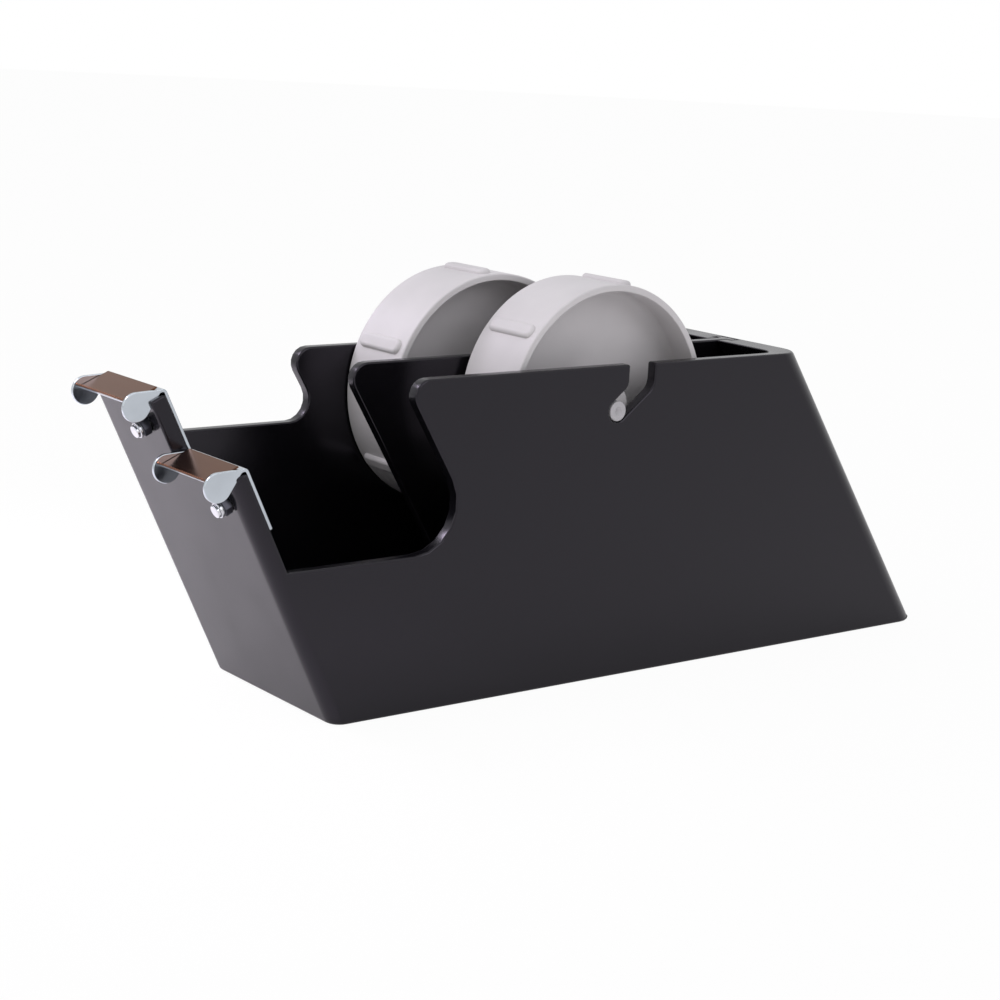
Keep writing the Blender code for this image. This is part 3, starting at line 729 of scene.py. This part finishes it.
class DISPENSER_OT_axles(bpy.types.Operator):
    """Axles with a turned dimple in each end"""

    bl_idname = "dispenser.axles"
    bl_label = "Axles"

    def execute(self, context):
        sizes = context.scene.dispenser_drums
        grey = moulded("axle_grey_plastic", AXLE_GREY, 0.36, 0.5)
        for lane in LANES:
            node = f"{lane}_axle"
            low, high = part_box(node)
            radius = (high.z - low.z) / 2
            half = (high.y - low.y) / 2
            pin = bar(f"{lane}_axle_pin", radius, half * 2, 48)
            enter(pin)
            for side in (-1, 1):
                pick(pin, "FACE", cap(side))
                bpy.ops.mesh.inset(thickness=radius - sizes.dimple)
                bpy.ops.mesh.inset(thickness=sizes.dimple * 0.9)
                move_inward(-side * sizes.dimple * 0.7)
                bevel(pin, circle(radius, side * half), radius / 9, 3)
            leave()
            settle(pin, Matrix.Translation(centre(node)) @ ACROSS)
            smooth(pin, ROUND_SHADING)
            dress(pin, grey, node)
        return {"FINISHED"}


class DISPENSER_OT_cutters(bpy.types.Operator):
    """Brackets and blades"""

    bl_idname = "dispenser.cutters"
    bl_label = "Cutters"

    def execute(self, context):
        sizes = context.scene.dispenser_cutters
        chrome = rolled("bright_plated_sheet", sizes.chrome, 0.14, (1, 0.08, 1))
        brown = rolled("brown_blade_steel", sizes.brown, 0.2, (1, 0.06, 1))
        for lane, tab in zip(LANES, (sizes.near_tab, sizes.far_tab)):
            low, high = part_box(f"{lane}_bracket")
            half = (high.y - low.y) / 2
            bracket = self.bracket(f"{lane}_cutter_bracket", sizes, half, tab + sizes.sheet * 0.8)
            settle(bracket, Matrix.Translation((FRONT_X, low.y + half, 0)) @ WALL_AXES)
            smooth(bracket, ROUND_SHADING)
            dress(bracket, chrome, f"{lane}_bracket")
            blade = merged_copy(f"{lane}_cutter_blade", f"{lane}_blade")
            pick(blade, "FACE", lambda face: face.normal.dot(WALL_OUT) < -0.99)
            bpy.ops.transform.translate(value=-WALL_OUT * sizes.blade_overlap)
            bevel(blade, sharp_edge(CREASE_ANGLE), sizes.blade_edge, 1)
            leave()
            smooth(blade)
            dress(blade, brown, f"{lane}_blade")
        return {"FINISHED"}

    def bracket(self, name, sizes, half, top):
        """Bent sheet over the tab, with a drop-shaped guide at each side.

        Here X runs ahead of the front wall, Z along it from its foot and Y across.
        """
        bpy.ops.object.select_all(action="DESELECT")
        bpy.ops.mesh.primitive_plane_add(size=1)
        sheet = bpy.context.active_object
        sheet.name = name
        stand = Matrix.Rotation(-math.pi / 2, 4, "Y")
        scale = Matrix.Diagonal((sizes.leg_length, half * 2 - sizes.sheet / 10, 1, 1))
        place = Matrix.Translation((-sizes.leg_depth, 0, top - sizes.leg_length / 2))
        settle(sheet, place @ stand @ scale)
        enter(sheet)
        pick(sheet, "EDGE", lambda edge: all(near_value(v.co.z, top) for v in edge.verts))
        reach = sizes.plate_reach + sizes.leg_depth
        bpy.ops.mesh.extrude_region_move(TRANSFORM_OT_translate={"value": (reach, 0, sizes.plate_rise)})
        bevel(sheet, lambda edge: all(near_value(v.co.z, top) for v in edge.verts), sizes.bend_radius, 8)
        leave()
        self.thicken(sheet, sizes)
        guides = [self.guide(sizes, top, side * (half - sizes.sheet / 2)) for side in (-1, 1)]
        bpy.ops.object.select_all(action="DESELECT")
        for part in (sheet, *guides):
            part.select_set(True)
        bpy.context.view_layer.objects.active = sheet
        bpy.ops.object.join()
        return sheet

    def guide(self, sizes, top, across):
        """A round plate drawn out to a tip at the bend."""
        middle = Vector((sizes.guide_reach, across, top - sizes.sheet * 0.4))
        tip = Vector((-sizes.leg_depth + sizes.sheet / 2, across, top + sizes.sheet * 0.3))
        bpy.ops.object.select_all(action="DESELECT")
        bpy.ops.mesh.primitive_circle_add(vertices=64, radius=sizes.guide_radius, fill_type="NGON")
        guide = bpy.context.active_object
        guide.name = "guide"
        settle(guide, Matrix.Translation(middle) @ ACROSS)
        reach = tip - middle
        half = math.acos(sizes.guide_radius / reach.length)
        enter(guide)
        bpy.ops.mesh.select_mode(type="VERT")
        shape = bmesh.from_edit_mesh(guide.data)
        for vert in shape.verts:
            if (vert.co - middle).angle(reach) < half:
                vert.select_set(True)
        bmesh.update_edit_mesh(guide.data)
        bpy.ops.mesh.merge(type="CENTER")
        merged = [vert for vert in bmesh.from_edit_mesh(guide.data).verts if vert.select][0]
        bpy.ops.transform.translate(value=tip - merged.co)
        leave()
        self.thicken(guide, sizes)
        return guide

    @staticmethod
    def thicken(piece, sizes):
        """Give a sheet its thickness and eased edges."""
        bpy.ops.object.select_all(action="DESELECT")
        bpy.context.view_layer.objects.active = piece
        wall = piece.modifiers.new("sheet", "SOLIDIFY")
        wall.thickness = sizes.sheet
        wall.offset = 0
        bpy.ops.object.modifier_apply(modifier=wall.name)
        ease = piece.modifiers.new("eased_edges", "BEVEL")
        ease.width = sizes.sheet_edge
        ease.segments = 3
        ease.limit_method = "ANGLE"
        ease.angle_limit = SHEET_CREASE
        bpy.ops.object.modifier_apply(modifier=ease.name)


class DISPENSER_OT_fixings(bpy.types.Operator):
    """Bolts, nuts and rings that hold the cutters"""

    bl_idname = "dispenser.fixings"
    bl_label = "Fixings"

    def execute(self, context):
        sizes = context.scene.dispenser_cutters
        zinc = rolled("bright_bolt_zinc", BOLT_ZINC, 0.2, EVEN)
        dark = rolled("dark_nut_steel", NUT_STEEL, 0.3, EVEN)
        bright = rolled("bright_ring_zinc", RING_ZINC, 0.2, EVEN)
        for lane in LANES:
            nut = self.nut(f"{lane}_hex_nut", sizes)
            self.place(nut, centre(f"{lane}_nut"), dark, f"{lane}_nut")
            ring = self.ring(f"{lane}_stud_ring", sizes)
            middle = centre(f"{lane}_lock_ring")
            self.place(ring, middle, bright, f"{lane}_lock_ring")
            bolt = self.bolt(f"{lane}_bolt_shank", sizes)
            self.place(bolt, middle - WALL_OUT * sizes.ring_ahead, zinc, f"{lane}_bolt")
        return {"FINISHED"}

    @staticmethod
    def place(piece, point, surface, node):
        """Set a fixing square to the front wall."""
        settle(piece, Matrix.Translation(point) @ WALL_TURN)
        smooth(piece, ROUND_SHADING)
        dress(piece, surface, node)

    @staticmethod
    def nut(name, sizes):
        """Hexagon with its corners eased at both faces."""
        half = sizes.nut_height / 2
        nut = bar(name, sizes.nut_radius, sizes.nut_height, 6)
        enter(nut)
        for side in (-1, 1):
            pick(nut, "FACE", cap(side))
            bpy.ops.mesh.inset(thickness=sizes.nut_radius / 9)
            bevel(nut, circle(sizes.nut_radius, side * half), sizes.nut_radius / 12, 2)
        bevel(
            nut, lambda edge: abs(edge.verts[0].co.z - edge.verts[1].co.z) > half,
            sizes.nut_radius / 16, 2,
        )
        leave()
        return nut

    @staticmethod
    def ring(name, sizes):
        """A flat ring, opened along its middle."""
        half = sizes.ring_height / 2
        bore = sizes.bolt_radius + sizes.sheet / 8
        ring = bar(name, sizes.ring_radius, sizes.ring_height, 48)
        enter(ring)
        for side in (-1, 1):
            pick(ring, "FACE", cap(side))
            bpy.ops.mesh.inset(thickness=sizes.ring_radius - bore)
        join_bore(ring, bore, (-half, half))
        for side in (-1, 1):
            bevel(ring, circle(sizes.ring_radius, side * half), sizes.ring_height / 5, 3)
        leave()
        return ring

    @staticmethod
    def bolt(name, sizes):
        """Shank with an eased end, and a flat head behind the leg."""
        length = sizes.bolt_end + sizes.bolt_grip
        bolt = bar(name, sizes.bolt_radius, length, 48)
        settle(bolt, Matrix.Translation((0, 0, (sizes.bolt_end - sizes.bolt_grip) / 2)))
        enter(bolt)
        pick(bolt, "FACE", cap(-1))
        grow = sizes.bolt_head_radius / sizes.bolt_radius
        pull(0)
        bpy.ops.transform.resize(value=(grow, grow, 1), center_override=(0, 0, -sizes.bolt_grip))
        pull(-sizes.bolt_head_height)
        foot = -sizes.bolt_grip - sizes.bolt_head_height
        bevel(bolt, circle(sizes.bolt_head_radius, foot), sizes.bolt_head_height / 2, 5)
        bevel(bolt, circle(sizes.bolt_radius, sizes.bolt_end), sizes.bolt_radius / 7, 3)
        leave()
        return bolt


class DISPENSER_OT_base(bpy.types.Operator):
    """Weight, cover, pad and screws under the shell"""

    bl_idname = "dispenser.base"
    bl_label = "Base"

    def execute(self, context):
        pad = merged_copy("foot_pad", "anti_slip_pad")
        bevel(pad, sharp_edge(CREASE_ANGLE), BASE_EASE, 2)
        leave()
        smooth(pad)
        dress(pad, rubber("cellular_rubber", RUBBER_BLACK), "anti_slip_pad")
        cover = merged_copy("bottom_cover", "base_cover")
        bevel(cover, sharp_edge(CREASE_ANGLE), BASE_EASE, 2)
        leave()
        smooth(cover)
        dress(cover, moulded("cover_black_plastic", COVER_BLACK, 0.45, 0.4), "base_cover")
        surfaces = {"weight": cast("cast_weight_steel", WEIGHT_STEEL, 0.55)}
        screw = rolled("screw_plated_steel", SCREW_STEEL, 0.3, EVEN)
        for index in range(1, 5):
            surfaces[f"base_screw_{index}"] = screw
        for node, surface in surfaces.items():
            for place in frame["nodes"][node].material_slots:
                place.material = surface
        return {"FINISHED"}


class DISPENSER_OT_stage(bpy.types.Operator):
    """Floor, light and camera"""

    bl_idname = "dispenser.stage"
    bl_label = "Stage"

    def execute(self, context):
        sizes = context.scene.dispenser_stage
        self.floor(sizes)
        self.sky(context, sizes)
        for name, place, target, size, power, colour, spread in LAMPS:
            self.lamp(name, place, target, size, getattr(sizes, power), colour, spread)
        self.camera(context, sizes)
        context.scene.view_settings.view_transform = "Standard"
        return {"FINISHED"}

    @staticmethod
    def seen(tree, kinds):
        """One where the ray is of one of these kinds."""
        path = tree.nodes.new("ShaderNodeLightPath")
        value = path.outputs[kinds[0]]
        for kind in kinds[1:]:
            either = tree.nodes.new("ShaderNodeMath")
            either.operation = "MAXIMUM"
            tree.links.new(value, either.inputs[0])
            tree.links.new(path.outputs[kind], either.inputs[1])
            value = either.outputs[0]
        return value

    def floor(self, sizes):
        """A wide plain floor that keeps the object's shadow."""
        bpy.ops.object.select_all(action="DESELECT")
        bpy.ops.mesh.primitive_circle_add(vertices=96, radius=6, fill_type="NGON")
        floor = bpy.context.active_object
        floor.name = "floor"
        made = new_surface("pale_floor", sizes.floor_colour, 0, 0.2)
        vary_roughness(made, pattern(made, 4, 2), 0.85, 0.95)
        tree = made.node_tree
        glow = tree.nodes.new("ShaderNodeEmission")
        glow.inputs["Strength"].default_value = 1
        mix = tree.nodes.new("ShaderNodeMixShader")
        direct = tree.nodes.new("ShaderNodeMath")
        direct.operation = "MULTIPLY"
        direct.inputs[1].default_value = FLOOR_SEEN
        mirrored = tree.nodes.new("ShaderNodeMath")
        mirrored.operation = "MULTIPLY_ADD"
        mirrored.inputs[1].default_value = FLOOR_MIRRORED
        tree.links.new(self.seen(tree, ("Is Camera Ray",)), direct.inputs[0])
        tree.links.new(self.seen(tree, ("Is Glossy Ray", "Is Transmission Ray")), mirrored.inputs[0])
        tree.links.new(direct.outputs[0], mirrored.inputs[2])
        tree.links.new(mirrored.outputs[0], mix.inputs[0])
        tree.links.new(tree.nodes["Principled BSDF"].outputs[0], mix.inputs[1])
        tree.links.new(glow.outputs[0], mix.inputs[2])
        tree.links.new(mix.outputs[0], tree.nodes["Material Output"].inputs["Surface"])
        floor.data.materials.append(made)

    def sky(self, context, sizes):
        """Even light all round, and a white backdrop."""
        world = bpy.data.worlds.new("studio")
        world.use_nodes = True
        tree = world.node_tree
        light = tree.nodes["Background"]
        light.inputs["Color"].default_value = (0.96, 0.97, 1, 1)
        light.inputs["Strength"].default_value = sizes.sky
        white = tree.nodes.new("ShaderNodeBackground")
        white.inputs["Color"].default_value = (1, 1, 1, 1)
        white.inputs["Strength"].default_value = 1
        mix = tree.nodes.new("ShaderNodeMixShader")
        share = tree.nodes.new("ShaderNodeMath")
        share.operation = "MULTIPLY_ADD"
        share.inputs[1].default_value = sizes.backdrop
        tree.links.new(self.seen(tree, ("Is Glossy Ray", "Is Transmission Ray")), share.inputs[0])
        tree.links.new(self.seen(tree, ("Is Camera Ray",)), share.inputs[2])
        tree.links.new(share.outputs[0], mix.inputs[0])
        tree.links.new(light.outputs[0], mix.inputs[1])
        tree.links.new(white.outputs[0], mix.inputs[2])
        tree.links.new(mix.outputs[0], tree.nodes["World Output"].inputs["Surface"])
        context.scene.world = world

    @staticmethod
    def lamp(name, place, target, size, power, colour, spread):
        """A square soft lamp aimed at a point."""
        bpy.ops.object.light_add(type="AREA", location=place)
        lamp = bpy.context.active_object
        lamp.name = name
        lamp.data.shape = "SQUARE"
        lamp.data.size = size
        lamp.data.energy = power
        lamp.data.color = colour
        lamp.data.spread = spread
        aim = Vector(target) - Vector(place)
        lamp.rotation_euler = aim.to_track_quat("-Z", "Y").to_euler()

    @staticmethod
    def camera(context, sizes):
        """The photograph's viewpoint."""
        bpy.ops.object.camera_add()
        camera = bpy.context.active_object
        camera.name = "viewpoint"
        turn = Matrix((CAMERA_RIGHT, CAMERA_UP, -Vector(CAMERA_AHEAD))).transposed().to_4x4()
        camera.matrix_world = Matrix.Translation(CAMERA_PLACE) @ turn
        camera.data.lens = sizes.lens
        camera.data.sensor_width = 36
        camera.data.clip_start = 0.02
        context.scene.camera = camera


class DISPENSER_PT_panel(bpy.types.Panel):
    """Sizes, colours and one button for each group of pieces"""

    bl_idname = "DISPENSER_PT_panel"
    bl_label = "Tape dispenser"
    bl_space_type = "VIEW_3D"
    bl_region_type = "UI"
    bl_category = "Dispenser"

    def draw(self, context):
        for name, steps in GROUPS.items():
            settings = getattr(context.scene, name)
            box = self.layout.box()
            for size in settings.__annotations__:
                box.prop(settings, size)
            for step in steps:
                box.operator(step.bl_idname)


SETTINGS = {
    "dispenser_housing": HousingSettings,
    "dispenser_drums": DrumSettings,
    "dispenser_cutters": CutterSettings,
    "dispenser_stage": StageSettings,
}
GROUPS = {
    "dispenser_housing": (DISPENSER_OT_housing, DISPENSER_OT_base),
    "dispenser_drums": (DISPENSER_OT_drums, DISPENSER_OT_axles),
    "dispenser_cutters": (DISPENSER_OT_cutters, DISPENSER_OT_fixings),
    "dispenser_stage": (DISPENSER_OT_stage,),
}
CLASSES = [*SETTINGS.values(), *(step for steps in GROUPS.values() for step in steps), DISPENSER_PT_panel]


def register():
    """Make the settings, operators and panel known."""
    for item in CLASSES:
        bpy.utils.register_class(item)
    for name, group in SETTINGS.items():
        setattr(bpy.types.Scene, name, PointerProperty(type=group))


def unregister():
    """Take them away again."""
    for name in SETTINGS:
        delattr(bpy.types.Scene, name)
    for item in reversed(CLASSES):
        bpy.utils.unregister_class(item)


def main():
    """Build every group in order."""
    register()
    bpy.ops.dispenser.stage()
    bpy.ops.dispenser.housing()
    bpy.ops.dispenser.drums()
    bpy.ops.dispenser.axles()
    bpy.ops.dispenser.cutters()
    bpy.ops.dispenser.fixings()
    bpy.ops.dispenser.base()


if __name__ == "__main__":
    main()
